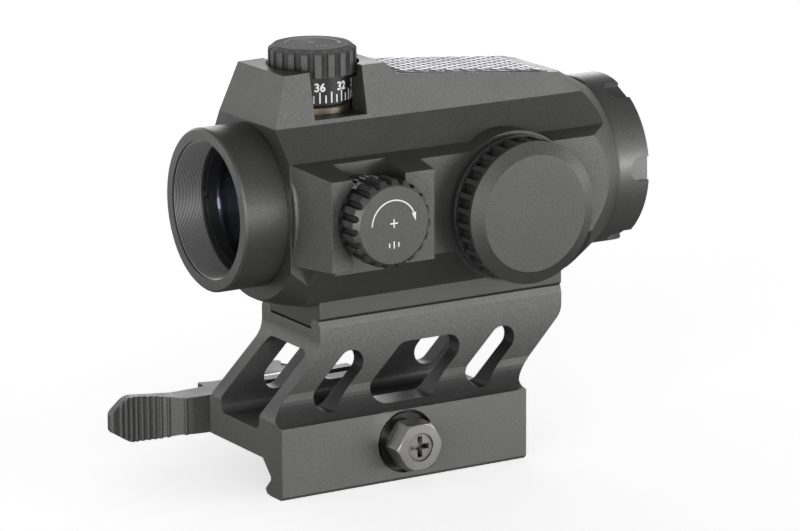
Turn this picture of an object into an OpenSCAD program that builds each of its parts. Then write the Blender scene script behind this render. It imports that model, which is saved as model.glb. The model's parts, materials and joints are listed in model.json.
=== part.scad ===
// Compact tube red dot sight on a forward-leaning riser with a quick-detach rail clamp.
// Millimetres. +X points forward, -Y is the side with the windage and brightness knobs, +Z is up.
// The origin lies on the rail seat, under the axis of the cross bolt.

/* [Optics] */
// Height of the optical axis above the rail seat
axis_h = 42.65; // [42:0.05:44]
// Outer radius of the rear ring
rear_ring_r = 14.1; // [13.8:0.1:14.6]
// Outer radius of the front ring
front_ring_r = 15.2; // [15:0.1:15.6]
// Minor radius of the thread in the rear ring
eyepiece_r = 12.0; // [11.9:0.05:12.1]
// Outer radius of the moving inner tube
tube_r = 9.8; // [9.4:0.1:9.9]

/* [Riser] */
// Length of the rail clamp block
block_l = 49.3; // [48:0.1:52]
// Height of the block's top face above the rail seat
block_top = 6.5; // [6.3:0.1:7]
// Height of the riser's top face
riser_top = 22.9; // [22.8:0.05:23]
// Forward offset of the riser's top from its block
riser_lean = 10.3; // [9.8:0.1:10.8]
// Half width across the two legs
leg_half = 10.1; // [10:0.1:10.4]

/* [Clamp] */
// Half width of the rail's flat top
rail_flat = 7.85; // [7.8:0.05:7.9]
// Half width of the rail across its flanks
rail_half = 10.6; // [10.55:0.05:10.65]
// Jaw travel for each radian that the lever opens
cam_rise = 1.0; // [0.8:0.1:1.1]
// Height of the cross bolt's axis above the rail seat
bolt_z = 0.8; // [0.6:0.1:1]
// Radius of the cross bolt
bolt_r = 2.5; // [2.4:0.1:2.5]

/* [Turrets] */
// Distance of both turret axes behind the origin
turret_x = -9.5; // [-10:0.1:-9.2]
// Rim radius of the two small knobs
small_knob_r = 7.6; // [7.4:0.1:7.8]
// Distance of each small knob's face from the optical axis
small_knob_top = 26.7; // [26.4:0.1:27]
// Number of flutes on a small knob
small_flutes = 20; // [16:1:24]

/* [Brightness knob] */
// Position of the knob's axis along the sight
power_x = 20.3; // [20:0.1:20.6]
// Height of the knob's axis above the rail seat
power_z = 40.4; // [40:0.1:41]
// Rim radius of the brightness knob
power_r = 12.5; // [12.4:0.1:12.8]
// Number of flutes on the brightness knob
power_flutes = 30; // [24:1:36]

/* [Hidden] */
$fn = 96;

fit = 0.05;        // radial clearance of a running fit
seat = 0.02;       // gap between parts that rest against each other
over = 1;          // how far a cutter runs past the surface it cuts

// clamp block and legs
block_half = block_l / 2;
block_near = -14.64;
block_floor = -6.2;
leg_top_bevel = [0.4, 1.2];
leg_fillet = 4.5;
lean_z = 7.2;                                   // where the leaning legs start
rear_top_x = riser_lean - block_half;
front_top_x = riser_lean + block_half;
cavity_half = 6.8;
cavity_floor = 4.6;
cavity_top = 17.2;
slot_pitch = 15.4;
slot_w = [6.8, 15, 6.9];
slot_mid = -7.7;                                // X minus Z along the middle slot's centre line
slot_low = 7.3;
channel_half = 7.1;
channel_floor = 21.1;
nut_recess_r = 5.6;
nut_recess_y = -13.0;

// sight body
tube_bore_r = 12.4;
body_rear = -21.9;
ring_rear = -30.7;
cell_rear = -25.0;                              // end of the eyepiece thread
cell_front = -20.6;
cell_r = 11.7;
bore_rear = -18.5;
window_front = 44.0;
seal_r = 11.0;
ring_front = 50.25;
ring_seam = 43.4;
neck_r = 15.4;
groove_r = rear_ring_r - 0.25;
hump_z = 65.9;
hump_half = [9.8, 7.9];
hump_foot_z = 57.3;
crease = [13.6, 51.9];
far_half = 15.6;
underside = [[17.0, 33.9], [10.1, 26.4]];       // sloping facet from the panel down to the foot
panel_y = underside[0].x;
panel_top = 50.9;
boss_y = 22.0;
boss_x = [-18.7, 1.3];
boss_z = [34.5, 50.1];
foot_half = 10.0;
foot_z = 25.8;
foot_undercut = 0.5;
tongue_half = channel_half - 0.12;
tongue_floor = channel_floor + 0.45;
post_x = [-4.35, 0.2];
deck = [[2.4, 64.1], [36, 60.9]];
slot_half = 5.15;
turret_floor = 15.4;

// turret stack, measured outwards from the optical axis
knob_base = 21.75;
dial_base = 17.05;
dial_r = 6.75;
bush_flange_r = 6.6;
bush_r = 5.0;
plunger_r = 2.45;
spindle_r = 1.55;

// brightness switch, measured outwards from the sight's centre plane
pad_r = 13.2;
rotor_base = 17.9;
rotor_flange = 0.8;
collar_r = 11.0;
battery_r = 10.0;
battery_h = 3.2;
cap_base = rotor_base + rotor_flange;
cap_face = 24.2;
board_floor = 15.2;
board_r = 11.2;
hub_r = 6.0;
hub_end = 11.3;
clip_r = 7.2;
detent_at = 9.6;
strip_at = 12.3;
strip_z = 37.3;
strip_half = 0.9;
strip_r = [11.6, 11.85];

// inner tube
pivot_x = 33.5;
ball_r = 10.6;
seat_r = 11.7;
pivot_half = 3.0;
tube_rear = -14.0;
tube_front = 41.5;

// clamp
jaw_half = 13;
jaw_inner = rail_half + 0.05;
jaw_outer = 20.7;
jaw_top = 4.1;
spring_r = 1.58;
jaw_pad = [9, 18.4];                            // half length and inner face of the jaw's raised pad
plate_t = 1.0;
cam_r = 4.7;
lever_y = jaw_outer + plate_t + cam_r;          // lever pin's distance from the centre plane
cam_sweep = 110;
hub_half = 4.65;
arm_half = 3.5;
eye_half = 2.3;
eye_r = 3.0;
pin_r = 1.3;
guide_x = 8.5;
guide_z = 1.8;
guide_r = 1.25;
guide_root = 7.0;
lever_step = -18.3;
screw_x = [-9, 20];
screw_y = 3.6;
screw_r = 1.5;

// ---------- helpers ----------

function unit(v) = v / norm(v);

// Points of one polygon corner, rounded with radius r
function corner(a, p, b, r, n = 8) =
  let (u = unit(a - p), v = unit(b - p), half = acos(u * v) / 2,
       c = p + unit(u + v) * r / sin(half),
       s = p + u * r / tan(half) - c, e = p + v * r / tan(half) - c,
       a0 = atan2(s.y, s.x), turn = (atan2(e.y, e.x) - a0 + 540) % 360 - 180)
  r == 0 ? [p] : [for (i = [0 : n]) c + r * [cos(a0 + turn * i / n), sin(a0 + turn * i / n)]];

// A polygon's points with each corner rounded: every entry of pts is [x, y, radius]
function rounded(pts) =
  let (n = len(pts), p = [for (q = pts) [q[0], q[1]]])
  [for (i = [0 : n - 1]) each corner(p[(i + n - 1) % n], p[i], p[(i + 1) % n], pts[i][2])];

// Arc points about c from angle a to angle b
function arc(c, r, a, b, n = 12) =
  [for (i = [0 : n]) let (t = a + (b - a) * i / n) c + r * [cos(t), sin(t)]];

// Extrudes a Y-Z outline along X
module prism_x(x0, x1) { translate([x0, 0, 0]) rotate([90, 0, 90]) linear_extrude(x1 - x0) children(); }

// Extrudes an X-Z outline along Y
module prism_y(y0, y1) { translate([0, y1, 0]) rotate([90, 0, 0]) linear_extrude(y1 - y0) children(); }

// Turns a [radius, x] outline about the optical axis
module turned_x(pts) { translate([0, 0, axis_h]) rotate([0, 90, 0]) rotate_extrude() polygon(pts); }

// Straight bar or bore along the optical axis
module bar_x(x0, x1, r) { translate([x0, 0, axis_h]) rotate([0, 90, 0]) cylinder(h = x1 - x0, r = r); }

// Straight bar along Y at [x, z]
module bar_y(x, z, y0, y1, r) { translate([x, y1, z]) rotate([90, 0, 0]) cylinder(h = y1 - y0, r = r); }

module turned_z(pts) { rotate_extrude() polygon(pts); }

// Plain ring or tube, standing on z0
module tube(z0, z1, outer, inner) { turned_z([[inner, z0], [outer, z0], [outer, z1], [inner, z1]]); }

// Frames in which +Z runs outwards from the optical axis
module on_elevation() { translate([turret_x, 0, axis_h]) children(); }
module on_windage() { translate([turret_x, 0, axis_h]) rotate([90, 0, 0]) children(); }
module on_power() { translate([power_x, 0, power_z]) rotate([90, 0, 0]) children(); }

// Round wire coiled about +Z
module coil(r, wire, h, turns, per_turn = 20, sides = 8) {
  n = turns * per_turn;
  ring = [for (i = [0 : n], j = [0 : sides - 1])
    let (a = 360 * i / per_turn, b = 360 * j / sides, q = r + wire * cos(b))
    [q * cos(a), q * sin(a), wire + (h - 2 * wire) * i / n + wire * sin(b)]];
  walls = [for (i = [0 : n - 1], j = [0 : sides - 1])
    let (k = (j + 1) % sides)
    [i * sides + j, i * sides + k, (i + 1) * sides + k, (i + 1) * sides + j]];
  ends = [[for (j = [sides - 1 : -1 : 0]) j], [for (j = [0 : sides - 1]) n * sides + j]];
  polyhedron(ring, concat(walls, ends), convexity = 6);
}

// ---------- riser and clamp block ----------

// Outline of the block and legs, seen from the front
function riser_section() = concat(
  [[block_near + 0.6, block_floor], [block_near, block_floor + 0.6], [block_near, block_top]],
  arc([block_near, block_top + leg_fillet], leg_fillet, -90, -8, 10),
  [[-leg_half, block_top + leg_fillet], [-leg_half, riser_top - leg_top_bevel.y],
   [-leg_half + leg_top_bevel.x, riser_top], [leg_half - leg_top_bevel.x, riser_top],
   [leg_half, riser_top - leg_top_bevel.y], [leg_half, block_top], [rail_half, block_top],
   [rail_half, 0], [rail_flat, 0], [-rail_flat, 0]],
  [[-rail_half, rail_flat - rail_half], [-rail_half, -3.35], [-8.75, -5.2], [-9.2, -5.97],
   [-10.2, block_floor]]
);

function riser_side() = rounded([
  [-block_half, block_floor - over, 0], [block_half, block_floor - over, 0], [block_half, lean_z, 2],
  [front_top_x, lean_z + riser_lean + 0.6, 3.5], [front_top_x, riser_top + over, 0],
  [rear_top_x, riser_top + over, 0], [rear_top_x, lean_z + riser_lean, 5], [-block_half, lean_z, 1.5]
]);

// Slanted window with its centre line at X - Z = c
module leg_slot(c, w) {
  polygon(rounded([
    [c - w / 2 + slot_low, slot_low, 2.3], [c + w / 2 + slot_low, slot_low, 2.3],
    [c + w / 2 + cavity_top, cavity_top, 2.3], [c - w / 2 + cavity_top, cavity_top, 2.3]
  ]));
}

module riser_mount() {
  color("#4a4a49")
  difference() {
    intersection() {
      prism_x(-block_half, front_top_x) polygon(riser_section());
      prism_y(block_near - over, rail_half + over) polygon(riser_side());
    }
    prism_x(-block_half - over, front_top_x + over) polygon(rounded([
      [-cavity_half, cavity_floor, 1.5], [cavity_half, cavity_floor, 1.5],
      [cavity_half, cavity_top, 1.5], [-cavity_half, cavity_top, 1.5]]));
    prism_x(-block_half - over, front_top_x + over)
      polygon([[-channel_half, channel_floor], [channel_half, channel_floor],
               [channel_half, riser_top + over], [-channel_half, riser_top + over]]);
    for (i = [0 : 2]) prism_y(-leg_half - leg_fillet, leg_half + over)
      leg_slot(slot_mid + (i - 1) * slot_pitch, slot_w[i]);
    bar_y(0, bolt_z, block_near - over, rail_half + over, bolt_r + fit);
    bar_y(0, bolt_z, block_near - over, nut_recess_y, nut_recess_r);
    for (s = [-1, 1]) bar_y(s * guide_x, guide_z, guide_root, rail_half + over, guide_r);
    for (x = screw_x, s = [-1, 1]) translate([x, s * screw_y, 0]) {
      translate([0, 0, -over]) cylinder(h = cavity_floor + 2 * over, r = 3.1);
      translate([0, 0, cavity_top - over]) cylinder(h = 6, r = screw_r + 0.1);
      translate([0, 0, cavity_top - over]) cylinder(h = over + 1.8, r = 2.85);
    }
  }
}

module foot_screws() {
  color("#2b2b2b")
  for (x = screw_x, s = [-1, 1]) translate([x, s * screw_y, 0]) difference() {
    union() {
      translate([0, 0, cavity_top - 0.9]) cylinder(h = 2.7 - seat, r = 2.7);
      translate([0, 0, cavity_top + 1]) cylinder(h = 8.2, r = screw_r);
    }
    translate([0, 0, cavity_top - 0.9 - over]) cylinder(h = over + 1.4, d = 2.3, $fn = 6);
  }
}

// ---------- housing ----------

// Cross-section of the sight body, without its hump and its thicker knob side
function body_section() =
  let (slope = (underside[0].y - underside[1].y) / (underside[0].x - underside[1].x))
  [[-crease.x, underside[0].y - slope * (panel_y - crease.x)], [-crease.x, crease.y],
   [-hump_half[0], hump_foot_z], [hump_half[0], hump_foot_z], [crease.x, crease.y], [far_half, 48],
   [far_half, 37.3], [underside[1].x, underside[1].y], [foot_half - 0.6, foot_z],
   [-foot_half + 0.6, foot_z], [-underside[1].x, underside[1].y]];

// Cross-section of the thicker side that carries the brightness knob
function panel_section() = [
  [-panel_y, underside[0].y], [-panel_y, panel_top], [-crease.x, crease.y], [0, crease.y],
  [0, underside[1].y], [-underside[1].x, underside[1].y]];

// Outline of the whole body, seen from the side
function body_side() = [
  [body_rear, foot_z - over], [body_rear, crease.y], [body_rear - 0.5, hump_foot_z], [-19.6, hump_z],
  [post_x[0], 66.2], [post_x[1], 66.2], deck[0], deck[1], [ring_seam + over, 56.5],
  [ring_seam + over, foot_z - over]
];

module front_cone() {
  turned_x([[0, body_rear - over], [30, body_rear - over], [30, 31], [20.8, 34.4], [19.6, 35.8],
            [15.25, ring_seam], [0, ring_seam]]);
}

// The body's lower rear end is turned down towards the ring's neck
module rear_undercut() {
  intersection() {
    turned_x([[16.5, body_rear - over], [16.5, body_rear], [19.6, -15.9], [20.9, rear_top_x],
              [40, rear_top_x], [40, body_rear - over]]);
    translate([-60, -60, 0]) cube([120, 120, underside[0].y - 0.5]);
  }
}

module windage_boss() {
  draft = 3;
  intersection() {
    prism_x(boss_x[0] - draft, boss_x[1]) polygon([
      [-boss_y, boss_z[0]], [-boss_y, boss_z[1]], [-crease.x, crease.y], [-9, crease.y], [-9, boss_z[0]]]);
    translate([0, 0, 20]) linear_extrude(50) polygon([
      [boss_x[0], -boss_y], [boss_x[0] - draft, -crease.x], [boss_x[0] - draft, 0], [boss_x[1], 0],
      [boss_x[1], -boss_y]]);
  }
}

module sight_foot() {
  prism_x(rear_top_x, front_top_x) polygon([
    [-foot_half, riser_top + foot_undercut], [-foot_half, 30], [foot_half, 30],
    [foot_half, riser_top + foot_undercut], [foot_half - foot_undercut, riser_top + seat],
    [tongue_half, riser_top + seat], [tongue_half, tongue_floor], [-tongue_half, tongue_floor],
    [-tongue_half, riser_top + seat], [-foot_half + foot_undercut, riser_top + seat]]);
}

module body_shell() {
  intersection() {
    union() {
      prism_x(body_rear - over, ring_seam) polygon(body_section());
      prism_x(boss_x[0], ring_seam) polygon(panel_section());
      prism_x(body_rear - over, ring_seam) polygon([
        [-hump_half[0], hump_foot_z], [-hump_half[1], hump_z], [-hump_half[1], hump_z + over],
        [hump_half[1], hump_z + over], [hump_half[1], hump_z], [hump_half[0], hump_foot_z]]);
      windage_boss();
      on_power() cylinder(h = panel_y, r = pad_r);
    }
    prism_y(-40, 40) polygon(body_side());
    front_cone();
  }
}

// Slot and counterbores that a turret sits in
module turret_cut(top) {
  translate([-slot_half, -30, turret_floor]) cube([2 * slot_half, 60, 20]);
  translate([0, 0, knob_base - 0.45]) cylinder(h = top - knob_base + 5, r = small_knob_r + 0.45);
  translate([0, 0, tube_bore_r - 3]) cylinder(h = 6.5, r = bush_r + seat);
  translate([0, 0, turret_floor]) cylinder(h = 20, r = dial_r + 2 * fit);
}

module housing() {
  lip = rear_ring_r - 0.35;
  color("#4d4d4b")
  difference() {
    union() {
      body_shell();
      sight_foot();
      turned_x([[0, ring_rear], [lip, ring_rear], [rear_ring_r, ring_rear + 0.35],
                [rear_ring_r, body_rear - 0.75], [groove_r, body_rear - 0.6], [groove_r, body_rear + 0.1],
                [neck_r - 0.4, body_rear + 0.15], [neck_r, body_rear + 0.5], [neck_r, body_rear + 3],
                [0, body_rear + 3]]);
      bar_x(ring_seam - 2, ring_seam + 5.6, 13.6);
    }
    rear_undercut();
    bar_x(ring_rear - over, cell_rear, eyepiece_r);
    bar_x(cell_rear - over, cell_front, cell_r);
    bar_x(cell_front - over, bore_rear + over, 10.4);
    bar_x(bore_rear, pivot_x - pivot_half - 1.2, tube_bore_r);
    bar_x(pivot_x - 6, ring_front, seal_r);
    intersection() {
      translate([pivot_x, 0, axis_h]) sphere(r = seat_r + fit);
      bar_x(pivot_x - pivot_half - 1.2, pivot_x + 5, tube_bore_r);
    }
    bar_x(window_front, ring_front, 12.0);
    on_elevation() turret_cut(hump_z - axis_h);
    intersection() {
      on_windage() turret_cut(boss_y);
      translate([-50, -60, 25]) cube([100, 60, crease.y + 3 - 25]);
    }
    on_power() {
      translate([0, 0, board_floor]) cylinder(h = 10, r = board_r + 0.1);
      translate([0, 0, 8]) cylinder(h = 10, r = hub_r + fit);
      translate([0, 0, 8]) cylinder(h = 4.3, r = clip_r + 0.4);
      translate([0, detent_at, board_floor - 3.2]) cylinder(h = 5, r = 0.65);
      translate([strip_at - power_x - strip_half - 0.2, strip_z - power_z - 0.3, 9])
        cube([2 * strip_half + 0.4, 0.85, board_floor - 8]);
    }
    for (x = screw_x, s = [-1, 1])
      translate([x, s * screw_y, channel_floor]) cylinder(h = 6, r = screw_r + seat);
    deck_recess();
  }
}

// Frame that lies on the sloping deck, with +Z along its outward normal
module on_deck() {
  pitch = atan2(deck[0].y - deck[1].y, deck[1].x - deck[0].x);
  translate([deck[0].x, 0, deck[0].y]) rotate([0, pitch, 0]) children();
}

module deck_outline(margin) {
  polygon(rounded([
    [0.9 + margin, -7.5 + margin, 0.8], [31.5 - margin, -8.2 + margin, 1.2],
    [31.5 - margin, 8.2 - margin, 1.2], [0.9 + margin, 7.5 - margin, 0.8]]));
}

module deck_recess() {
  on_deck() translate([0, 0, -0.5]) linear_extrude(3) deck_outline(0);
}

module top_mesh_panel() {
  color("#b9b7c4")
  on_deck() translate([0, 0, -0.5 + seat]) linear_extrude(0.6) deck_outline(0.06);
}

module objective_ring() {
  color("#474746")
  difference() {
    turned_x([[13.62, ring_seam + seat], [front_ring_r - 0.15, ring_seam + seat],
              [front_ring_r, ring_seam + 0.4], [front_ring_r, ring_front - 0.3],
              [front_ring_r - 0.3, ring_front], [12.6, ring_front], [12.2, ring_front - 0.5],
              [12.2, 49.3], [13.62, 49.1]]);
    for (a = [28 : 60 : 328]) translate([0, 0, axis_h]) rotate([a, 0, 0])
      translate([48.4, 0, front_ring_r - 0.95]) {
        cylinder(h = 3, r = 2.13);
        translate([0, -2.13, 0]) cube([4, 4.26, 3]);
      }
  }
}

module front_window() {
  color("#5b3b3a", 0.6)
  bar_x(window_front + 0.8, window_front + 2.8, 11.9);
}

module front_window_retainer() {
  face = window_front + 4.9;
  color("#232323")
  difference() {
    turned_x([[10.4, window_front + 2.8 + seat], [11.95, window_front + 2.8 + seat], [11.95, face],
              [10.9, face]]);
    for (s = [-1, 1]) translate([face, s * 11.2, axis_h]) cube([1.2, 1.6, 1], center = true);
  }
}

module ocular_window() {
  color("#6d7f9c", 0.6)
  bar_x(cell_front - 2.4, cell_front - seat, cell_r - 0.4);
}

module ocular_retainer() {
  face = cell_front - 4.2;
  color("#232323")
  difference() {
    turned_x([[9.9, cell_front - 2.4 - seat], [cell_r - 0.05, cell_front - 2.4 - seat], [cell_r - 0.05, face],
              [10.4, face]]);
    for (s = [-1, 1]) translate([face, s * 11, axis_h]) cube([1.4, 1.6, 1.2], center = true);
  }
}

module window_seals() {
  color("#151515") {
    turned_x([[seal_r, window_front + seat], [11.9, window_front + seat],
              [11.9, window_front + 0.8 - seat], [seal_r, window_front + 0.8 - seat]]);
    turned_x([[cell_r - 0.38, cell_front - 1.8], [cell_r - seat, cell_front - 1.8],
              [cell_r - seat, cell_front - 0.6], [cell_r - 0.38, cell_front - 0.6]]);
  }
}

// ---------- turrets ----------

module bushing() {
  color("#8a7148")
  turned_z([[plunger_r + fit, 12.6], [bush_r, 12.6], [bush_r, turret_floor + seat],
            [bush_flange_r, turret_floor + seat], [bush_flange_r, dial_base - 0.05 - 0.5],
            [bush_flange_r - 0.4, dial_base - 0.05], [4.4, dial_base - 0.05], [4.4, 19.8],
            [plunger_r + fit, 19.8]]);
}

module turret_ring() {
  color("#141414")
  translate([0, 0, 18.4]) rotate_extrude() translate([4.8, 0]) circle(r = 0.36, $fn = 24);
}

module dial() {
  color("#181818")
  turned_z([[5.2, dial_base], [dial_r, dial_base], [dial_r, knob_base], [5.0, knob_base],
            [5.0, 25.0], [spindle_r + seat, 25.0], [spindle_r + seat, 20.2], [5.2, 20.2]]);
}

// Fluted knob standing on z = base, with a chamfered face at z = top; the flutes run out at z = flute_end
module fluted_knob(base, top, r, face_r, chamfer, inner_r, roof, flutes, flute_r, flute_depth, flute_end) {
  difference() {
    turned_z([[inner_r, base], [r - 0.2, base], [r, base + 0.2], [r, top - chamfer], [face_r, top],
              [0, top], [0, roof], [inner_r, roof]]);
    for (i = [0 : flutes - 1]) rotate(360 * i / flutes)
      translate([r + flute_r - flute_depth, 0, base - over]) {
        cylinder(h = flute_end - base + over, r = flute_r, $fn = 24);
        translate([0, 0, flute_end - base + over]) sphere(r = flute_r, $fn = 24);
      }
  }
}

module small_knob() {
  color("#3a3a3a")
  rotate(90 / small_flutes) fluted_knob(knob_base + seat, small_knob_top, small_knob_r, 6.62, 0.8, 5.0 + seat,
                                        25.0 + seat, small_flutes, 0.62, 0.75, small_knob_top + 1);
}

module spindle() {
  color("#9a9a98")
  translate([0, 0, 11.7]) cylinder(h = 24.9 - 11.7, r = spindle_r);
}

module plunger() {
  color("#9a9a98")
  turned_z([[0, tube_r + 0.03], [1.2, tube_r + 0.03], [plunger_r, tube_r + 0.9], [plunger_r, 16.3],
            [spindle_r + fit, 16.3], [spindle_r + fit, 11.0], [0, 11.0]]);
}

module elevation_bushing() { on_elevation() bushing(); }
module elevation_o_ring() { on_elevation() turret_ring(); }
module elevation_dial() { on_elevation() dial(); }
module elevation_knob() { on_elevation() small_knob(); }
module elevation_spindle() { on_elevation() spindle(); }
module elevation_plunger() { on_elevation() plunger(); }
module windage_bushing() { on_windage() bushing(); }
module windage_o_ring() { on_windage() turret_ring(); }
module windage_dial() { on_windage() dial(); }
module windage_knob() { on_windage() small_knob(); }
module windage_spindle() { on_windage() spindle(); }
module windage_plunger() { on_windage() plunger(); }

// ---------- inner tube and light source ----------

module pivot_ring() {
  color("#6f6f6f")
  difference() {
    translate([pivot_x, 0, axis_h]) sphere(r = seat_r);
    translate([pivot_x, 0, axis_h]) sphere(r = ball_r + fit);
    for (s = [-1, 1]) translate([pivot_x + s * (pivot_half + 20), 0, axis_h]) cube(40, center = true);
  }
}

// Frame whose +Z runs down through the light source at the tube's rear end
module on_led() { translate([tube_rear + 4, 0, axis_h]) rotate([180, 0, 0]) children(); }

module inner_tube() {
  color("#202020")
  difference() {
    union() {
      bar_x(tube_rear, tube_front, tube_r);
      intersection() {
        translate([pivot_x, 0, axis_h]) sphere(r = ball_r);
        bar_x(pivot_x - 3.5, pivot_x + 3.5, ball_r);
      }
    }
    bar_x(tube_rear - over, 36, 8.6);
    bar_x(35, tube_front + over, 9.0);
    on_led() cylinder(h = 20, r = 1.5);
  }
}

module collimator_lens() {
  color("#7a4340", 0.7)
  bar_x(36 + seat, 39.4, 8.98);
}

module lens_retainer() {
  color("#202020")
  turned_x([[8.0, 39.4 + seat], [8.98, 39.4 + seat], [8.98, 41.0], [8.3, 41.0]]);
}

module led_holder() {
  color("#2e2e2e")
  on_led() tube(6.6, tube_r + 0.1, 1.46, 0.72);
}

module led_emitter() {
  color("#c02a1e")
  on_led() translate([0, 0, 6.9]) cylinder(h = 2.2, r = 0.7);
}

// Bowed leaf that presses the tube against both plungers
module bias_spring() {
  half = 9;
  rise = 2.35;
  bow_r = (half * half + rise * rise) / (2 * rise);
  top = -tube_r - 0.05;
  spread = asin(half / bow_r);
  color("#8d8d8b")
  translate([0, 0, axis_h]) rotate([45, 0, 0]) prism_y(-1.5, 1.5) polygon(concat(
    arc([turret_x + 5.5, top - bow_r], bow_r, 90 - spread, 90 + spread, 16),
    arc([turret_x + 5.5, top - bow_r], bow_r - 0.2, 90 + spread, 90 - spread, 16)));
}

// Strip conductor from the circuit board to the light source, lying along the bore's wall
module led_flex_strip() {
  inlet = asin((axis_h - strip_z) / strip_r[0]);
  bend = 8;
  color("#a8662a")
  translate([0, 0, axis_h]) {
    prism_x(strip_at - strip_half, strip_at + strip_half)
      polygon(concat(arc([0, 0], strip_r[1], 177 + inlet, 270, 10),
                     arc([0, 0], strip_r[0], 270, 177 + inlet, 10)));
    prism_x(tube_rear + 4, strip_at + strip_half)
      polygon(concat(arc([0, 0], strip_r[1], 270 - bend / 2, 270 + bend / 2, 2),
                     arc([0, 0], strip_r[0], 270 + bend / 2, 270 - bend / 2, 2)));
  }
  prism_x(strip_at - strip_half, strip_at + strip_half)
    translate([-board_floor + seat, strip_z]) square([board_floor - seat - strip_r[0] * cos(inlet), 0.25]);
}

// ---------- brightness switch and battery ----------

module circuit_board() {
  color("#1f5a34")
  on_power() difference() {
    tube(board_floor + seat, board_floor + 1.0, board_r, hub_r + 0.4);
    translate([0, detent_at, board_floor - over]) cylinder(h = 4, r = 0.7);
  }
}

module switch_rotor() {
  color("#5a5a58")
  on_power() turned_z([
    [4.6, hub_end], [hub_r - 0.6, hub_end], [hub_r - 0.6, hub_end + 0.9], [hub_r, hub_end + 0.9],
    [hub_r, 13.2], [hub_r - 0.7, 13.2], [hub_r - 0.7, 14.4], [hub_r, 14.4], [hub_r, rotor_base],
    [power_r + 0.2, rotor_base], [power_r + 0.2, cap_base - seat], [collar_r, cap_base - seat],
    [collar_r, 21.6], [battery_r + 0.15, 21.6], [battery_r + 0.15, cap_base], [4.6, cap_base]]);
}

module battery_cap() {
  color("#434342")
  on_power() fluted_knob(cap_base, cap_face, power_r, 10.2, 1.0, collar_r + seat, 23.0,
                         power_flutes, 0.85, 0.9, cap_face - 2.4);
}

module battery() {
  color("#c9c9c6")
  on_power() translate([0, 0, cap_base + 0.45])
    turned_z([[0, 0], [8.4, 0], [8.4, 0.25], [battery_r - 0.3, 0.25], [battery_r, 0.55],
              [battery_r, battery_h], [0, battery_h]]);
}

module battery_insulator() {
  color("#2f6a3c")
  on_power() tube(cap_base + seat, cap_base + 0.4, battery_r, 4.6);
}

module battery_contact() {
  color("#c8b070")
  on_power() tube(cap_base + 0.5 + battery_h, 23.0 - seat, 5, 2.5);
}

module switch_wiper() {
  color("#c8b070")
  on_power() for (a = [0, 120, 240]) rotate(a + 30) translate([8.2, 0, board_floor + 1.0 + seat])
    cylinder(h = rotor_base - board_floor - 1.0 - 2 * seat, r = 0.5);
}

module rotor_o_ring() {
  color("#141414")
  on_power() tube(13.25, 14.35, hub_r + seat, hub_r - 0.65);
}

module rotor_clip() {
  color("#8d8d8b")
  on_power() difference() {
    tube(hub_end + 0.05, hub_end + 0.8, clip_r, hub_r - 0.58);
    translate([3, -1.5, hub_end - over]) cube([6, 3, 3]);
  }
}

module detent_ball() {
  color("#b5b5b2")
  on_power() translate([0, detent_at, rotor_base - 0.6 - seat]) sphere(r = 0.6, $fn = 32);
}

module detent_spring() {
  color("#8d8d8b")
  on_power() translate([0, detent_at, board_floor - 3]) coil(0.45, 0.12, 4.4, 6, 12, 6);
}

// ---------- rail clamp ----------

// Cross bolt: threaded end at -Y, eye around the lever pin at +Y
module cross_bolt() {
  tip = -19.1;
  color("#b4b2ac")
  difference() {
    union() {
      bar_y(0, bolt_z, tip, lever_y - 1.1, bolt_r);
      translate([0, lever_y, bolt_z - eye_half]) cylinder(h = 2 * eye_half, r = eye_r);
    }
    translate([0, lever_y, bolt_z - 5]) cylinder(h = 10, r = pin_r + fit);
    for (a = [0, 90]) translate([0, tip, bolt_z]) rotate([0, a, 0]) cube([3.7, 3, 0.95], center = true);
  }
}

module on_bolt() { translate([0, 0, bolt_z]) rotate([90, 0, 0]) children(); }

module flat_washer() {
  color("#4f4f50")
  on_bolt() tube(-nut_recess_y + seat, -nut_recess_y + 1, 4.9, bolt_r + 0.15);
}

module lock_washer() {
  color("#6a6a69")
  on_bolt() difference() {
    tube(-nut_recess_y + 1 + seat, -nut_recess_y + 2.2, 4.1, bolt_r + 0.15);
    translate([0, -0.3, 10]) rotate([0, 20, 0]) cube([8, 0.6, 10]);
  }
}

module lock_nut() {
  z0 = -nut_recess_y + 2.2 + seat;
  z1 = 19.4;
  af = 8;
  color("#a9a7a2")
  on_bolt() difference() {
    intersection() {
      translate([0, 0, z0]) cylinder(h = z1 - z0, r = af / sqrt(3), $fn = 6);
      turned_z([[0, z0], [4.35, z0], [4.8, z0 + 0.35], [4.8, z1 - 0.5], [4.1, z1], [0, z1]]);
    }
    translate([0, 0, z0 - over]) cylinder(h = 8, r = bolt_r + seat);
  }
}

module movable_jaw() {
  color("#4a4a49")
  difference() {
    union() {
      prism_x(-jaw_half, jaw_half) polygon([
        [jaw_inner, jaw_top], [jaw_inner, -3.35], [8.8, -5.2], [9.2, -5.9], [10.2, block_floor],
        [14.8, block_floor], [jaw_outer, -3.2], [jaw_outer, jaw_top - 0.5], [jaw_outer - 0.5, jaw_top]]);
      translate([-jaw_pad.x, jaw_pad.y, bolt_z - hub_half])
        cube([2 * jaw_pad.x, jaw_outer - jaw_pad.y, 2 * hub_half]);
    }
    bar_y(0, bolt_z, jaw_inner - over, jaw_outer + over, bolt_r + fit);
    for (s = [-1, 1]) {
      bar_y(s * guide_x, guide_z, jaw_inner - over, jaw_outer + over, guide_r + fit);
      bar_y(s * guide_x, guide_z, jaw_inner - over, 14.5, spring_r + 0.42);
    }
  }
}

module cam_plate() {
  color("#8b8a87")
  difference() {
    translate([-8, jaw_outer + seat, bolt_z - hub_half]) cube([16, plate_t - 2 * seat, 2 * hub_half]);
    bar_y(0, bolt_z, jaw_outer - over, jaw_outer + 3, bolt_r + fit);
    for (s = [-1, 1]) bar_y(s * guide_x, guide_z, jaw_outer - over, jaw_outer + 3, guide_r + 0.3);
  }
}

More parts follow.
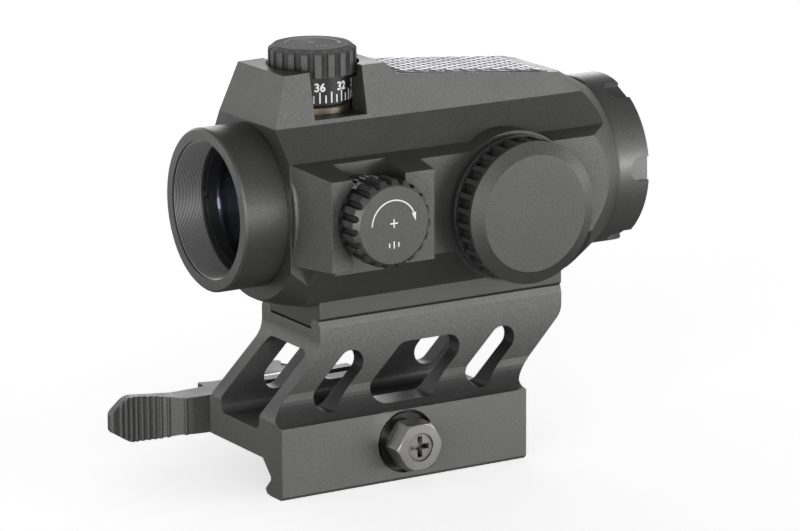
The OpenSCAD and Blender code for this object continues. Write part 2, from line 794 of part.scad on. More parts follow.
module jaw_guide_pins() {
  color("#9a9a98")
  for (s = [-1, 1]) bar_y(s * guide_x, guide_z, guide_root, jaw_outer - 0.3, guide_r);
}

module jaw_springs() {
  color("#a5a5a2")
  for (s = [-1, 1]) translate([s * guide_x, rail_half + 0.02, guide_z]) rotate([-90, 0, 0])
    coil(spring_r, 0.25, 3.85, 4);
}

// Cam outline: its support distance from the pin falls by cam_rise for each radian of opening
function cam_point(a) =
  let (h = cam_r - cam_rise * (a - 270) * PI / 180)
  h * [cos(a), sin(a)] - cam_rise * [-sin(a), cos(a)];

// Lever outline from above, about its pin: cam, outer edge, finger pad, inner edge
function lever_plan() = concat(
  [for (a = [270 : 5 : 270 + cam_sweep]) cam_point(a)],
  rounded([[1.87, 3.0, 1], [-6, 3.0, 2], [-11, 0, 2], [-15.5, 0, 1], [lever_step, 0.8, 0.4],
           [lever_step, -2.2, 0.8], [-24, -2.5, 6], [-30, -2.6, 8], [-34.5, -2.9, 6], [-39.2, -4.2, 0.7],
           [-38.7, -5.7, 0.7], [-33, -4.4, 5], [-29, -4.7, 4], [-24.5, -7.6, 5], [-18.5, -7.9, 4],
           [-13.5, -5.2, 3], [-9.5, -cam_r, 3]])
);

function lever_side() = rounded([
  [8, -hub_half, 0], [-8, -hub_half, 0], [-11, -arm_half, 2], [-25.5, -arm_half + 0.3, 4],
  [-29, -3.9, 3], [-34.6, -3.8, 4], [-39.2, -0.9, 2.5], [-39.2, 2.0, 2.5], [-35.2, 4.6, 4], [-29.5, 3.9, 4],
  [-25.5, arm_half, 4], [-11, arm_half, 2], [-8, hub_half, 0], [8, hub_half, 0]]);

module cam_lever() {
  rib_x = concat([-24.9], [for (i = [0 : 8]) -27.5 - 1.15 * i]);
  pad_face = [[-38.7, -5.7], [-33, -4.4], [-29, -4.7], [-24.5, -7.6]];
  slot = bolt_r + 0.1;
  color("#6d6d6b")
  translate([0, lever_y, bolt_z]) difference() {
    intersection() {
      union() {
        translate([0, 0, -6]) linear_extrude(12) polygon(lever_plan());
        for (x = rib_x)
          translate([x, lookup(x, pad_face) - 0.05, -6]) cylinder(h = 12, r = 0.33, $fn = 24);
      }
      prism_y(-9, 8) polygon(lever_side());
    }
    translate([0, 0, -6]) cylinder(h = 12, r = pin_r);
    translate([0, 0, -slot]) linear_extrude(2 * slot)
      polygon([[-2.7, 0], [-2.7, -9], [9, -9], [9, 6.2], [7.5, 5.6], [-0.92, 2.54]]);
    translate([0, 0, -slot]) cylinder(h = 2 * slot, r = eye_r + 0.15);
  }
}

module lever_pin() {
  color("#9a9a98")
  translate([0, lever_y, bolt_z - hub_half - 0.1]) cylinder(h = 2 * hub_half + 0.3, r = pin_r);
}

riser_mount();
foot_screws();
housing();
top_mesh_panel();
objective_ring();
front_window();
front_window_retainer();
ocular_window();
ocular_retainer();
window_seals();
elevation_bushing();
elevation_o_ring();
elevation_knob();
elevation_dial();
elevation_spindle();
elevation_plunger();
windage_bushing();
windage_o_ring();
windage_knob();
windage_dial();
windage_spindle();
windage_plunger();
pivot_ring();
inner_tube();
collimator_lens();
lens_retainer();
led_holder();
led_emitter();
bias_spring();
led_flex_strip();
circuit_board();
switch_rotor();
battery_cap();
battery();
battery_insulator();
battery_contact();
switch_wiper();
rotor_o_ring();
rotor_clip();
detent_ball();
detent_spring();
cross_bolt();
flat_washer();
lock_washer();
lock_nut();
movable_jaw();
cam_plate();
cam_lever();
lever_pin();
jaw_guide_pins();
jaw_springs();
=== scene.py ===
"""Looks for the tube red dot sight: materials, marks, threads and the studio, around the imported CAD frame."""

import json
import math

import bmesh
import bpy
from mathutils import Matrix, Vector


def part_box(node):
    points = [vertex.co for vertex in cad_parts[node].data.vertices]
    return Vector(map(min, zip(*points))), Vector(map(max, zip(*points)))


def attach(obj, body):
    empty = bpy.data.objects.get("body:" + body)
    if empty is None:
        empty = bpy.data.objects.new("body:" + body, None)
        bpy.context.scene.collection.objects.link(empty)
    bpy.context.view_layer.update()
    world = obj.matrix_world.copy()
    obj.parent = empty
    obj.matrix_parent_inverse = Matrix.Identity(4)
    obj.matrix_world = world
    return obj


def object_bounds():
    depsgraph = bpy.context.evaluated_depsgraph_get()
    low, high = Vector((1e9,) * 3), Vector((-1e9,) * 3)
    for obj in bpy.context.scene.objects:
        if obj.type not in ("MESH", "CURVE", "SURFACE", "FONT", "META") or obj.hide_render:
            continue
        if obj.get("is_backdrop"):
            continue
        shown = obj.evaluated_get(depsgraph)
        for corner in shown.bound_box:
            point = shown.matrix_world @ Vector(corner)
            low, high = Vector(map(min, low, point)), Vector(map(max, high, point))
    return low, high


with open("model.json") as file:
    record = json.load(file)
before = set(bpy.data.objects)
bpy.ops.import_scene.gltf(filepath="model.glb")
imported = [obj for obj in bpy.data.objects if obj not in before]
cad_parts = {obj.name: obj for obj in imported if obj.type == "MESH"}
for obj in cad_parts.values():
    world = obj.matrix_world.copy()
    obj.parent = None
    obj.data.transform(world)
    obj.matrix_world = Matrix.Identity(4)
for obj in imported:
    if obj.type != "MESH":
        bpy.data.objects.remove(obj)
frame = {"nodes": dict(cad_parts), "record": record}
cad_lo, cad_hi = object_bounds()
nodes = frame["nodes"]

MM = 0.001
WELD = 0.0001 * MM


# ---------- materials ----------


def new_material(name):
    mat = bpy.data.materials.new(name)
    mat.use_nodes = True
    tree = mat.node_tree
    return mat, tree, tree.nodes["Principled BSDF"]


def add(tree, kind, **inputs):
    node = tree.nodes.new(kind)
    for key, value in inputs.items():
        node.inputs[key.replace("_", " ")].default_value = value
    return node


def noise(tree, coord, scale, detail=2.0, rough=0.5):
    n = add(tree, "ShaderNodeTexNoise", Scale=scale, Detail=detail, Roughness=rough)
    tree.links.new(coord, n.inputs["Vector"])
    return n.outputs["Fac"]


def ramp(tree, fac, stops):
    r = tree.nodes.new("ShaderNodeValToRGB")
    els = r.color_ramp.elements
    while len(els) < len(stops):
        els.new(0.5)
    for el, (pos, value) in zip(els, stops):
        el.position = pos
        el.color = (value, value, value, 1) if isinstance(value, (int, float)) else (*value, 1)
    tree.links.new(fac, r.inputs["Fac"])
    return r.outputs["Color"]


def mix(tree, fac, a, b, blend="MIX"):
    m = tree.nodes.new("ShaderNodeMix")
    m.data_type = "RGBA"
    m.blend_type = blend
    for socket, value in ((m.inputs[0], fac), (m.inputs[6], a), (m.inputs[7], b)):
        if isinstance(value, bpy.types.NodeSocket):
            tree.links.new(value, socket)
        elif isinstance(value, (tuple, list)):
            socket.default_value = (*value, 1)
        else:
            socket.default_value = value
    return m.outputs[2]


def edge_mask(tree, radius, low=0.05, high=0.4):
    """White along sharp edges, from the difference between a rounded normal and the true one."""
    bevel = tree.nodes.new("ShaderNodeBevel")
    bevel.samples = 4
    bevel.inputs["Radius"].default_value = radius
    geo = tree.nodes.new("ShaderNodeNewGeometry")
    dot = tree.nodes.new("ShaderNodeVectorMath")
    dot.operation = "DOT_PRODUCT"
    tree.links.new(bevel.outputs["Normal"], dot.inputs[0])
    tree.links.new(geo.outputs["Normal"], dot.inputs[1])
    inverse = tree.nodes.new("ShaderNodeMath")
    inverse.operation = "SUBTRACT"
    inverse.inputs[0].default_value = 1.0
    tree.links.new(dot.outputs["Value"], inverse.inputs[1])
    return ramp(tree, inverse.outputs[0], [(low, 0.0), (high, 1.0)]), bevel.outputs["Normal"]


def painted_shade_in_hollows(tree, base, share, reach, alone):
    """Painted shade: takes up to a share of the tone away where other surfaces stand within reach, in
    millimetres.
    """
    hollow = tree.nodes.new("ShaderNodeAmbientOcclusion")
    hollow.samples = 8
    hollow.only_local = alone
    hollow.inputs["Distance"].default_value = reach * MM
    open_share = ramp(tree, hollow.outputs["AO"], [(0.4, 1 - share), (0.97, 1.0)])
    return mix(tree, 1.0, base, open_share, "MULTIPLY")


def painted_shade_by_height(tree, base, position, height_shade):
    """Painted shade: scales the tone by (height in millimetres, factor) stops above the rail seat."""
    top = 40
    parts = tree.nodes.new("ShaderNodeSeparateXYZ")
    tree.links.new(position, parts.inputs[0])
    level = tree.nodes.new("ShaderNodeMapRange")
    level.inputs["From Max"].default_value = top * MM
    tree.links.new(parts.outputs["Z"], level.inputs["Value"])
    stops = [(height / top, tone) for height, tone in height_shade]
    return mix(tree, 1.0, base, ramp(tree, level.outputs["Result"], stops), "MULTIPLY")


def metal(name, color, rough=0.5, metallic=0.6, grain=5200, speckle=0.3, bump=0.35, wear_and_sheen=0.6,
          wear_and_sheen_color=None, radius=0.12, stretch=(1, 1, 1), mottle=0.08, gloss=0.5, hollow_shade=0.0,
          reach=7.0, alone=False, height_shade=None):
    """Blasted and anodised, turned or plated metal: fine grain, slow mottling, and edges lightened partly as
    rubbed wear and partly as a painted highlight; optional painted shade in hollows and by height.
    """
    mat, tree, bsdf = new_material(name)
    position = tree.nodes.new("ShaderNodeTexCoord").outputs["Object"]
    mapping = tree.nodes.new("ShaderNodeMapping")
    mapping.inputs["Scale"].default_value = stretch
    tree.links.new(position, mapping.inputs["Vector"])
    fine = noise(tree, mapping.outputs["Vector"], grain, 3.0, 0.6)
    slow = noise(tree, position, 130, 4.0, 0.55)
    base = mix(tree, ramp(tree, fine, [(0.3, 0.0), (0.7, 1.0)]),
               tuple(c * (1 - speckle) for c in color), tuple(c * (1 + speckle) for c in color))
    base = mix(tree, ramp(tree, slow, [(0.35, 0.0), (0.65, mottle)]), base, tuple(c * 0.6 for c in color))
    # edges lightened partly as rubbed wear and partly as a painted highlight
    mask, soft_normal = edge_mask(tree, radius * MM)
    edge_breakup = noise(tree, position, 900, 3.0)
    worn_and_sheen = mix(tree, 1.0, mask, ramp(tree, edge_breakup, [(0.35, 0.25), (0.65, 1.0)]), "MULTIPLY")
    scale = tree.nodes.new("ShaderNodeMath")
    scale.operation = "MULTIPLY"
    scale.inputs[1].default_value = wear_and_sheen
    tree.links.new(worn_and_sheen, scale.inputs[0])
    bare_and_sheen = wear_and_sheen_color or tuple(min(1, c * 2.2 + 0.06) for c in color)
    base = mix(tree, scale.outputs[0], base, bare_and_sheen)
    # painted shade: the tone darkens where other surfaces stand close, as in flutes, recesses and fillets
    if hollow_shade:
        base = painted_shade_in_hollows(tree, base, hollow_shade, reach, alone)
    # painted shade: the tone follows height, darkest just above the block
    if height_shade:
        base = painted_shade_by_height(tree, base, position, height_shade)
    tree.links.new(base, bsdf.inputs["Base Color"])
    bsdf.inputs["Metallic"].default_value = metallic
    bsdf.inputs["Specular IOR Level"].default_value = gloss
    uneven = ramp(tree, slow, [(0.3, max(0.05, rough - 0.06)), (0.7, rough + 0.06)])
    tree.links.new(uneven, bsdf.inputs["Roughness"])
    b = add(tree, "ShaderNodeBump", Strength=bump, Distance=0.00004)
    tree.links.new(fine, b.inputs["Height"])
    tree.links.new(soft_normal, b.inputs["Normal"])
    tree.links.new(b.outputs["Normal"], bsdf.inputs["Normal"])
    return mat


def plain(name, color, rough=0.6, grain=3000, bump=0.2, speckle=0.15, **sockets):
    """Paint, rubber, film or card: one tone broken up by grain."""
    mat, tree, bsdf = new_material(name)
    coord = tree.nodes.new("ShaderNodeTexCoord").outputs["Object"]
    fine = noise(tree, coord, grain, 3.0, 0.6)
    base = mix(tree, ramp(tree, fine, [(0.3, 0.0), (0.7, 1.0)]),
               tuple(c * (1 - speckle) for c in color), tuple(min(1, c * (1 + speckle)) for c in color))
    tree.links.new(base, bsdf.inputs["Base Color"])
    uneven = ramp(tree, fine, [(0.3, rough - 0.05), (0.7, min(1, rough + 0.05))])
    tree.links.new(uneven, bsdf.inputs["Roughness"])
    b = add(tree, "ShaderNodeBump", Strength=bump, Distance=0.00003)
    tree.links.new(fine, b.inputs["Height"])
    tree.links.new(b.outputs["Normal"], bsdf.inputs["Normal"])
    for key, value in sockets.items():
        bsdf.inputs[key.replace("_", " ")].default_value = value
    return mat


def coated_glass(name, tint, coat, haze=0.02, mirror=0.0):
    """Lens glass with a thin coating; mirror is the front face's share of reflection in the coat's colour."""
    mat, tree, bsdf = new_material(name)
    coord = tree.nodes.new("ShaderNodeTexCoord")
    layer = tree.nodes.new("ShaderNodeLayerWeight")
    layer.inputs["Blend"].default_value = 0.2
    smudges = noise(tree, coord.outputs["Object"], 160, 3.0)
    smear = ramp(tree, smudges, [(0.4, haze), (0.7, haze + 0.03)])
    base = mix(tree, layer.outputs["Facing"], tint, coat)
    facing = tree.nodes.new("ShaderNodeSeparateXYZ")
    tree.links.new(coord.outputs["Normal"], facing.inputs[0])
    front = ramp(tree, facing.outputs["X"], [(0.4, 0.0), (0.6, mirror)])
    tree.links.new(front, bsdf.inputs["Metallic"])
    base = mix(tree, front, base, coat)
    tree.links.new(base, bsdf.inputs["Base Color"])
    tree.links.new(smear, bsdf.inputs["Roughness"])
    bsdf.inputs["Transmission Weight"].default_value = 1.0
    bsdf.inputs["IOR"].default_value = 1.45
    bsdf.inputs["Specular Tint"].default_value = (*coat, 1)
    bsdf.inputs["Coat Weight"].default_value = 0.15
    bsdf.inputs["Coat Roughness"].default_value = 0.03
    bsdf.inputs["Coat Tint"].default_value = (*coat, 1)
    return mat


# The lightened edges are partly rubbed wear and partly a painted highlight; the darkening in hollows and by
# height is painted shade.
METALS = {
    "anodised_body": dict(color=(0.116, 0.116, 0.113), rough=0.4, hollow_shade=0.35),
    # riser_metal carries painted shade: darker in its hollows and on the flanks just above the block
    "riser_metal": dict(color=(0.2, 0.2, 0.196), rough=0.42, metallic=0.5, hollow_shade=0.85, reach=13.0,
                        alone=True, height_shade=[(6.3, 1.0), (7.2, 0.58), (9, 0.4), (14, 0.55), (21, 0.88)]),
    "ring_metal": dict(color=(0.15, 0.15, 0.147), rough=0.38),
    "lever_metal": dict(color=(0.16, 0.16, 0.157), rough=0.46, metallic=0.5, gloss=0.3),
    "knob_metal": dict(color=(0.098, 0.098, 0.096), rough=0.4, metallic=0.55, hollow_shade=0.8, reach=1.6),
    "matte_knob": dict(color=(0.125, 0.125, 0.123), rough=0.6, metallic=0.3, gloss=0.15, hollow_shade=0.8,
                       reach=1.6),
    "dial_black": dict(color=(0.016, 0.016, 0.017), rough=0.38, metallic=0.2, wear_and_sheen=0.2),
    "bushing_metal": dict(color=(0.19, 0.165, 0.13), rough=0.33, metallic=0.9, speckle=0.12,
                          stretch=(0.05, 0.05, 1)),
    "turned_steel": dict(color=(0.42, 0.42, 0.41), rough=0.3, metallic=1.0, speckle=0.08, bump=0.12),
    "spring_steel": dict(color=(0.5, 0.5, 0.49), rough=0.25, metallic=1.0, speckle=0.06, bump=0.08,
                         radius=0.05),
    "black_metal": dict(color=(0.014, 0.0145, 0.015), rough=0.4, metallic=0.3, speckle=0.12, bump=0.1,
                        wear_and_sheen=0.7, gloss=0.3, wear_and_sheen_color=(0.16, 0.16, 0.16)),
    "black_steel": dict(color=(0.035, 0.035, 0.035), rough=0.4, metallic=0.7),
    "washer_steel": dict(color=(0.09, 0.09, 0.09), rough=0.3, metallic=0.9, speckle=0.15),
    "nut_steel": dict(color=(0.5, 0.495, 0.48), rough=0.36, metallic=0.9, speckle=0.15, wear_and_sheen=0.9,
                      wear_and_sheen_color=(0.8, 0.79, 0.77), hollow_shade=0.85, reach=1.2),
    "zinc_steel": dict(color=(0.5, 0.49, 0.47), rough=0.35, metallic=0.9, speckle=0.14, hollow_shade=0.95,
                       reach=0.9),
    "mesh_panel": dict(color=(0.06, 0.06, 0.066), rough=0.4, speckle=0.1),
    "panel_silver": dict(color=(0.56, 0.56, 0.61), rough=0.34, metallic=0.75, speckle=0.08, bump=0.1,
                         radius=0.08, wear_and_sheen=0.3),
    # thread_crest is a painted highlight, far lighter than the ring metal
    "thread_crest": dict(color=(0.5, 0.5, 0.495), rough=0.4, speckle=0.1, bump=0.1, wear_and_sheen=0.0),
    "cell_steel": dict(color=(0.6, 0.6, 0.58), rough=0.22, metallic=1.0, speckle=0.05, bump=0.06),
    "contact_gold": dict(color=(0.72, 0.5, 0.18), rough=0.22, metallic=1.0, speckle=0.05, bump=0.06),
}
PLAINS = {
    "rubber_black": dict(color=(0.014, 0.014, 0.014), rough=0.75),
    "board_green": dict(color=(0.02, 0.11, 0.05), rough=0.35, speckle=0.3),
    "strip_amber": dict(color=(0.42, 0.17, 0.03), rough=0.3),
    "led_red": dict(color=(0.6, 0.03, 0.02), rough=0.15, Transmission_Weight=0.4,
                    Emission_Color=(1, 0.05, 0.02, 1), Emission_Strength=0.6),
    "insulator_card": dict(color=(0.06, 0.24, 0.08), rough=0.8, speckle=0.25),
    "mark_white": dict(color=(0.86, 0.86, 0.84), rough=0.55, grain=5000, bump=0.15, speckle=0.04),
    "mark_grey": dict(color=(0.5, 0.5, 0.49), rough=0.5, grain=6000, bump=0.15, speckle=0.12),
}
GLASSES = {
    "window_glass": dict(tint=(0.97, 0.98, 1.0), coat=(0.2, 0.32, 0.62)),
    "coated_lens": dict(tint=(0.84, 0.9, 0.96), coat=(0.85, 0.2, 0.12), mirror=0.4),
}
LOOKS = {name: metal(name, **look) for name, look in METALS.items()}
LOOKS.update({name: plain(name, **look) for name, look in PLAINS.items()})
LOOKS.update({name: coated_glass(name, **look) for name, look in GLASSES.items()})

# Nodes whose look differs from the one their slot names: the elevation knob gets a matte finish, and the pivot
# ring is painted black as painted shade where its turned steel would shine behind the rear window
FINISH_AND_SHADE_SWAPS = {"elevation_knob": "matte_knob", "pivot_ring": "black_metal"}

for sub in frame["record"]["subparts"]:
    look = FINISH_AND_SHADE_SWAPS.get(sub["node"], sub["material_slot"])
    materials = nodes[sub["node"]].data.materials
    materials.clear()
    materials.append(LOOKS[look])


# ---------- small pieces ----------


def mesh_object(name, solids, look, body):
    """One piece from the collected solids, each closed and facing outwards."""
    mesh = bpy.data.meshes.new(name)
    mesh.from_pydata([tuple(v) for v in solids.verts], [], solids.faces)
    solid = bmesh.new()
    solid.from_mesh(mesh)
    bmesh.ops.remove_doubles(solid, verts=solid.verts, dist=WELD)
    bmesh.ops.recalc_face_normals(solid, faces=solid.faces)
    solid.to_mesh(mesh)
    solid.free()
    mesh.materials.append(LOOKS[look])
    obj = bpy.data.objects.new(name, mesh)
    bpy.context.scene.collection.objects.link(obj)
    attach(obj, body)
    return obj


class Solids:
    """Collects closed little solids into one mesh."""

    def __init__(self):
        self.verts, self.faces = [], []

    def prism(self, outline, place, low, high):
        """Outline is a list of (u, v) going anticlockwise; place maps (u, v, height) to a point."""
        n, start = len(outline), len(self.verts)
        for h in (low, high):
            self.verts += [place(u, v, h) for u, v in outline]
        self.faces.append([start + n + i for i in range(n)])
        self.faces.append([start + i for i in reversed(range(n))])
        for i in range(n):
            j = (i + 1) % n
            self.faces.append([start + i, start + j, start + n + j, start + n + i])

    def ring(self, profile, place, steps):
        """Closed profile of (radius, along) pairs, carried round a full turn."""
        n, start = len(profile), len(self.verts)
        for s in range(steps):
            a = 2 * math.pi * s / steps
            self.verts += [place(r * math.cos(a), r * math.sin(a), x) for r, x in profile]
        for s in range(steps):
            here, there = start + s * n, start + (s + 1) % steps * n
            for i in range(n):
                j = (i + 1) % n
                self.faces.append([here + i, here + j, there + j, there + i])


def number_outlines(body, size):
    """Points and polygons of a solid number, centred on its own middle."""
    curve = bpy.data.curves.new("number", "FONT")
    curve.body = body
    curve.size = size
    curve.offset = size * 0.03
    curve.resolution_u = 3
    curve.align_x = "CENTER"
    curve.align_y = "CENTER"
    curve.extrude = 0.5
    obj = bpy.data.objects.new("number", curve)
    bpy.context.scene.collection.objects.link(obj)
    dg = bpy.context.evaluated_depsgraph_get()
    mesh = bpy.data.meshes.new_from_object(obj.evaluated_get(dg))
    points = [v.co.copy() for v in mesh.vertices]
    polys = [list(p.vertices) for p in mesh.polygons]
    bpy.data.objects.remove(obj)
    bpy.data.meshes.remove(mesh)
    bpy.data.curves.remove(curve)
    return points, polys


def dial_marks(name, node, axis, body, zero_angle):
    """Forty divisions and a number at every fourth, wrapped round a drum that turns about 'z' or 'y'."""
    divisions, numbered = 40, 4
    first = divisions - numbered
    proud, sunk = 0.03 * MM, 0.05 * MM
    foot, long_mark, short_mark, half = 0.4 * MM, 1.9 * MM, 1.35 * MM, 0.13 * MM
    number_size, number_height = 2.0 * MM, 3.05 * MM
    lo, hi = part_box(node)
    centre, radius = (lo + hi) / 2, (hi.x - lo.x) / 2
    base = lo.z if axis == "z" else -hi.y

    def place(u, v, h):
        a = zero_angle + u / radius
        r = radius + h
        if axis == "z":
            return Vector((centre.x + r * math.cos(a), centre.y + r * math.sin(a), base + v))
        return Vector((centre.x + r * math.cos(a), -(base + v), centre.z + r * math.sin(a)))

    marks = Solids()
    pitch = 2 * math.pi * radius / divisions
    for i in range(divisions):
        left, right = i * pitch - half, i * pitch + half
        top = foot + (long_mark if i % 2 == 0 else short_mark)
        marks.prism([(left, foot), (right, foot), (right, top), (left, top)], place, -sunk, proud)
    for i in range(0, divisions, numbered):
        points, polys = number_outlines(str((first - i) % divisions), number_size)
        start = len(marks.verts)
        for p in points:
            marks.verts.append(place(i * pitch + p.x, number_height + p.y, proud if p.z > 0 else -sunk))
        marks.faces += [[start + k for k in polygon] for polygon in polys]
    mesh_object(name, marks, "mark_white", body)


def arc_outline(r, width, a0, a1, steps=40):
    inner, outer = r - width / 2, r + width / 2
    turn = [a0 + (a1 - a0) * i / steps for i in range(steps + 1)]
    return ([(outer * math.cos(t), outer * math.sin(t)) for t in turn],
            [(inner * math.cos(t), inner * math.sin(t)) for t in turn])


def strip_prism(solids, outer, inner, place, low, high):
    """A curved band as a row of four-sided cells welded into one closed solid."""
    n, start = len(outer), len(solids.verts)
    for h in (low, high):
        solids.verts += [place(u, v, h) for u, v in outer] + [place(u, v, h) for u, v in inner]
    lo_o, lo_i, hi_o, hi_i = start, start + n, start + 2 * n, start + 3 * n
    for i in range(n - 1):
        solids.faces.append([hi_o + i, hi_o + i + 1, hi_i + i + 1, hi_i + i])
        solids.faces.append([lo_i + i, lo_i + i + 1, lo_o + i + 1, lo_o + i])
        solids.faces.append([lo_o + i, lo_o + i + 1, hi_o + i + 1, hi_o + i])
        solids.faces.append([hi_i + i, hi_i + i + 1, lo_i + i + 1, lo_i + i])
    solids.faces.append([lo_i, lo_o, hi_o, hi_i])
    solids.faces.append([lo_o + n - 1, lo_i + n - 1, hi_i + n - 1, hi_o + n - 1])


def turn_arrow(name, place, body, radius, width, a0, a1, look, scale=1.0):
    """Clockwise arc with an arrowhead, a plus sign in the middle and three ticks below it."""
    low, high = -0.04 * MM, 0.03 * MM
    marks = Solids()
    outer, inner = arc_outline(radius, width, a0, a1)
    strip_prism(marks, outer, inner, place, low, high)
    head_length, head_half = 1.5 * MM * scale, 0.42 * MM * scale
    tip_angle = a1 - head_length / radius
    tip = Vector((radius * math.cos(tip_angle), radius * math.sin(tip_angle)))
    root = Vector((radius * math.cos(a1), radius * math.sin(a1)))
    along = (tip - root).normalized()
    half = Vector((-along.y, along.x)) * head_half
    marks.prism([tuple(root - half), tuple(tip), tuple(root + half)], place, low, high)
    arm, thick, plus_height = 0.75 * MM * scale, 0.12 * MM * scale, 0.3 * MM
    cross = [(-arm, -thick), (-thick, -thick), (-thick, -arm), (thick, -arm), (thick, -thick), (arm, -thick),
             (arm, thick), (thick, thick), (thick, arm), (-thick, arm), (-thick, thick), (-arm, thick)]
    marks.prism([(u, v + plus_height) for u, v in cross], place, low, high)
    tick_gap, tick_height = 0.9 * MM * scale, -3.4 * MM * scale
    for i in (-1, 0, 1):
        left, right = i * tick_gap - thick, i * tick_gap + thick
        reach = (0.62 if i == 0 else 0.4) * MM * scale
        bottom, top = tick_height - reach, tick_height + reach
        marks.prism([(left, bottom), (right, bottom), (right, top), (left, top)], place, low, high)
    mesh_object(name, marks, look, body)


# Elevation and windage drums, and the marks on the knob faces
dial_marks("elevation_dial_marks", "elevation_dial", "z", "elevation_turret", math.radians(-109.4))
dial_marks("windage_dial_marks", "windage_dial", "y", "windage_turret", math.radians(118))

w_lo, w_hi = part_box("windage_knob")
w_centre = (w_lo + w_hi) / 2
turn_arrow("windage_face_marks", lambda u, v, h: Vector((w_centre.x + u, w_lo.y - h, w_centre.z + v)),
           "windage_turret", 4.25 * MM, 0.24 * MM, math.radians(178), math.radians(24), "mark_white")
e_lo, e_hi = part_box("elevation_knob")
e_centre = (e_lo + e_hi) / 2
turn_arrow("elevation_face_marks", lambda u, v, h: Vector((e_centre.x + u, e_centre.y + v, e_hi.z + h)),
           "elevation_turret", 4.7 * MM, 0.2 * MM, math.radians(150), math.radians(-20), "mark_grey", 0.9)


def eyepiece_thread():
    """Fine thread inside the rear ring, as annular crests painted light over a dark root ring that is painted
    shade for the grooves.
    """
    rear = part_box("housing")[0].x
    ring_lo, ring_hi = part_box("objective_ring")
    axis_z = (ring_lo.z + ring_hi.z) / 2
    bore, depth, root_depth = 12.02 * MM, 0.2 * MM, 0.05 * MM
    pitch, crests, steps = 0.28 * MM, 19, 96
    foot_half, tip_half = 0.08 * MM, 0.03 * MM
    first, root_start = rear + 0.45 * MM, rear + 0.3 * MM
    root_end = first + crests * pitch - 0.1 * MM

    def place(u, v, along):
        return Vector((along, u, axis_z + v))

    # painted shade: a thin black ring under the crests darkens the grooves
    root_shade = Solids()
    root_shade.ring([(bore, root_start), (bore, root_end), (bore - root_depth, root_end),
                (bore - root_depth, root_start)], place, steps)
    mesh_object("eyepiece_thread_root_shade", root_shade, "black_metal", "riser")
    # painted highlight: the crests' light tone stands in for lit thread flanks
    thread = Solids()
    for i in range(crests):
        x = first + i * pitch
        thread.ring([(bore, x - foot_half), (bore, x + foot_half), (bore - depth, x + tip_half),
                     (bore - depth, x - tip_half)], place, steps)
    mesh_object("eyepiece_thread_crests", thread, "thread_crest", "riser")


def top_panel_diamonds():
    """Raised diamonds in staggered rows on the sloping, tapering top panel."""
    lo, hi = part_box("top_mesh_panel")
    fall, run = 3.2, 33.6
    rear_half, widening = 7.44 * MM, 0.7 * MM
    step_x, step_y = 3.14 * MM, 1.78 * MM
    half_x, half_y = 1.34 * MM, 0.76 * MM
    end_gap, side_gap = 0.2 * MM, 0.1 * MM
    proud, sunk, taper = 0.2 * MM, 0.06 * MM, 0.7
    slope = math.atan2(fall, run)
    along = Vector((math.cos(slope), 0, -math.sin(slope)))
    normal = Vector((math.sin(slope), 0, math.cos(slope)))
    # the panel's top face passes through the upper edge of its rear end
    rear_edge = Vector((lo.x, 0, hi.z))
    length = (hi.x - lo.x) / along.x
    corners = [(-half_x, 0), (0, -half_y), (half_x, 0), (0, half_y)]
    rows = int((hi.y - lo.y) / step_y * 2) + 2
    diamonds = Solids()
    for row in range(-rows, rows + 1):
        for col in range(-1, int(length / step_x) + 2):
            u = col * step_x + (step_x / 2 if row % 2 else 0)
            v = row * step_y / 2
            share = min(max(u / length, 0), 1)
            side_limit = rear_half + widening * share - half_y - side_gap
            end_limit = half_x + end_gap
            if abs(v) > side_limit or not end_limit <= u <= length - end_limit:
                continue
            middle = rear_edge + along * u + Vector((0, v, 0))
            start = len(diamonds.verts)
            for size, height in ((1, -sunk), (taper, proud)):
                diamonds.verts += [middle + along * a * size + Vector((0, b * size, 0)) + normal * height
                                   for a, b in corners]
            diamonds.faces.append([start + k for k in (3, 2, 1, 0)])
            diamonds.faces.append([start + k for k in (4, 5, 6, 7)])
            for k in range(4):
                j = (k + 1) % 4
                diamonds.faces.append([start + k, start + j, start + 4 + j, start + 4 + k])
    mesh_object("top_panel_diamonds", diamonds, "panel_silver", "riser")


eyepiece_thread()
top_panel_diamonds()

# ---------- studio ----------


def floor_material():
    """Pale paper. Close to the object it looks grey to all but the camera, so undersides stay dark."""
    mat, tree, bsdf = new_material("studio_floor")
    coord = tree.nodes.new("ShaderNodeTexCoord").outputs["Object"]
    paper = noise(tree, coord, 40, 3.0)
    rays = tree.nodes.new("ShaderNodeLightPath")
    seen = rays.outputs["Is Camera Ray"]
    pale = mix(tree, paper, (0.95, 0.95, 0.95), (0.965, 0.965, 0.965))
    reach = tree.nodes.new("ShaderNodeVectorMath")
    reach.operation = "LENGTH"
    tree.links.new(tree.nodes.new("ShaderNodeNewGeometry").outputs["Position"], reach.inputs[0])
    far = ramp(tree, reach.outputs["Value"], [(0.1, 0.0), (0.26, 1.0)])
    around = mix(tree, far, (0.2, 0.2, 0.2), (0.9, 0.9, 0.9))
    tree.links.new(mix(tree, seen, around, pale), bsdf.inputs["Base Color"])
    glow_around = mix(tree, far, (0, 0, 0), (0.55, 0.55, 0.55))
    glow = mix(tree, seen, glow_around, (0.62, 0.62, 0.62))
    tree.links.new(glow, bsdf.inputs["Emission Strength"])
    bsdf.inputs["Roughness"].default_value = 0.9
    bsdf.inputs["Specular IOR Level"].default_value = 0.1
    bsdf.inputs["Emission Color"].default_value = (1, 1, 1, 1)
    return mat


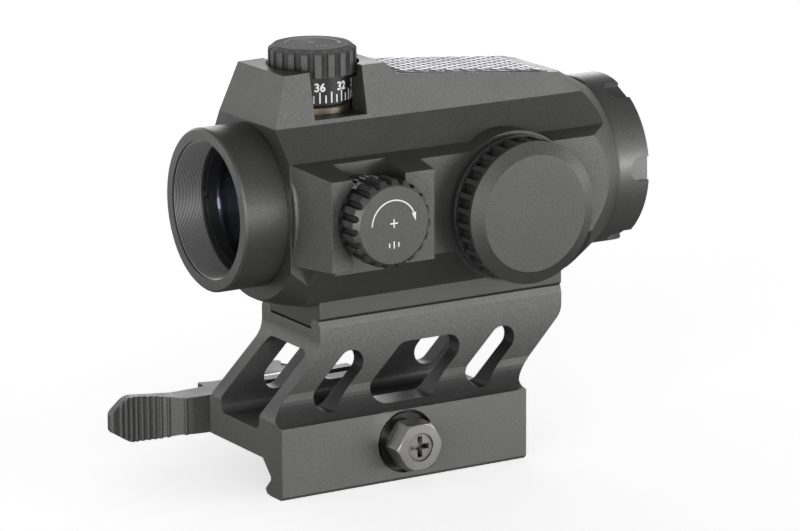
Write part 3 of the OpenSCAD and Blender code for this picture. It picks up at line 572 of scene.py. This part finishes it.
def lay_floor(half, height):
    mesh = bpy.data.meshes.new("studio_floor")
    corners = [(-half, -half, height), (half, -half, height), (half, half, height), (-half, half, height)]
    mesh.from_pydata(corners, [], [(0, 1, 2, 3)])
    mesh.materials.append(floor_material())
    floor = bpy.data.objects.new("studio_floor", mesh)
    bpy.context.scene.collection.objects.link(floor)
    floor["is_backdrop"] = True


def light_world(stops, strength):
    """Surroundings whose brightness follows (height from straight down to straight up, brightness) stops."""
    world = bpy.data.worlds.new("studio")
    bpy.context.scene.world = world
    world.use_nodes = True
    tree = world.node_tree
    background = tree.nodes["Background"]
    split = tree.nodes.new("ShaderNodeSeparateXYZ")
    tree.links.new(tree.nodes.new("ShaderNodeTexCoord").outputs["Generated"], split.inputs[0])
    shift = tree.nodes.new("ShaderNodeMapRange")
    shift.inputs["From Min"].default_value = -1
    tree.links.new(split.outputs["Z"], shift.inputs["Value"])
    tree.links.new(ramp(tree, shift.outputs["Result"], stops), background.inputs["Color"])
    background.inputs["Strength"].default_value = strength


def area_light(name, offset, width, height, power):
    """Rectangle of light set off from the object's middle and aimed at it."""
    light = bpy.data.lights.new(name, "AREA")
    light.shape = "RECTANGLE"
    light.size, light.size_y = width, height
    light.energy = power
    obj = bpy.data.objects.new(name, light)
    bpy.context.scene.collection.objects.link(obj)
    offset = Vector(offset)
    obj.location = (cad_lo + cad_hi) / 2 + offset
    obj.rotation_mode = "QUATERNION"
    obj.rotation_quaternion = (-offset).to_track_quat("-Z", "Y")


def photo_camera(azimuth, elevation, roll, lens, distance, look_at):
    """Camera at the photographed angle; azimuth runs from -Y towards +X, and roll is about the sight line."""
    out = Vector((math.sin(azimuth) * math.cos(elevation), -math.cos(azimuth) * math.cos(elevation),
                  math.sin(elevation)))
    right = Vector((math.cos(azimuth), math.sin(azimuth), 0))
    up = out.cross(right)
    cam_x = right * math.cos(roll) + up * math.sin(roll)
    cam_y = -right * math.sin(roll) + up * math.cos(roll)
    camera = bpy.data.objects.new("camera", bpy.data.cameras.new("camera"))
    bpy.context.scene.collection.objects.link(camera)
    camera.data.lens = lens
    camera.data.sensor_width = 36
    camera.data.clip_start, camera.data.clip_end = 0.05, 20
    turn = Matrix(((cam_x.x, cam_y.x, out.x), (cam_x.y, cam_y.y, out.y), (cam_x.z, cam_y.z, out.z)))
    camera.matrix_world = Matrix.Translation(look_at + out * distance) @ turn.to_4x4()
    return camera


bpy.context.scene.view_settings.view_transform = "Standard"
lay_floor(6.0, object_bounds()[0].z)
light_world([(0.0, 0.9), (0.5, 1.0), (0.64, 0.9), (0.76, 0.3), (0.88, 0.1), (1.0, 0.1)], 0.95)
area_light("key", (-0.7, -0.75, 0.08), 0.9, 0.35, 6.0)
area_light("fill", (0.8, -0.75, 0.0), 1.0, 0.12, 4.8)
area_light("back", (0.2, 1.0, 0.22), 1.2, 0.4, 3.2)
bpy.context.scene.camera = photo_camera(math.radians(-31.2272), math.radians(13.7452), math.radians(-0.3204),
                                        191.473, 0.7443698, Vector((0.0077968, 0.0, 0.0279470)))
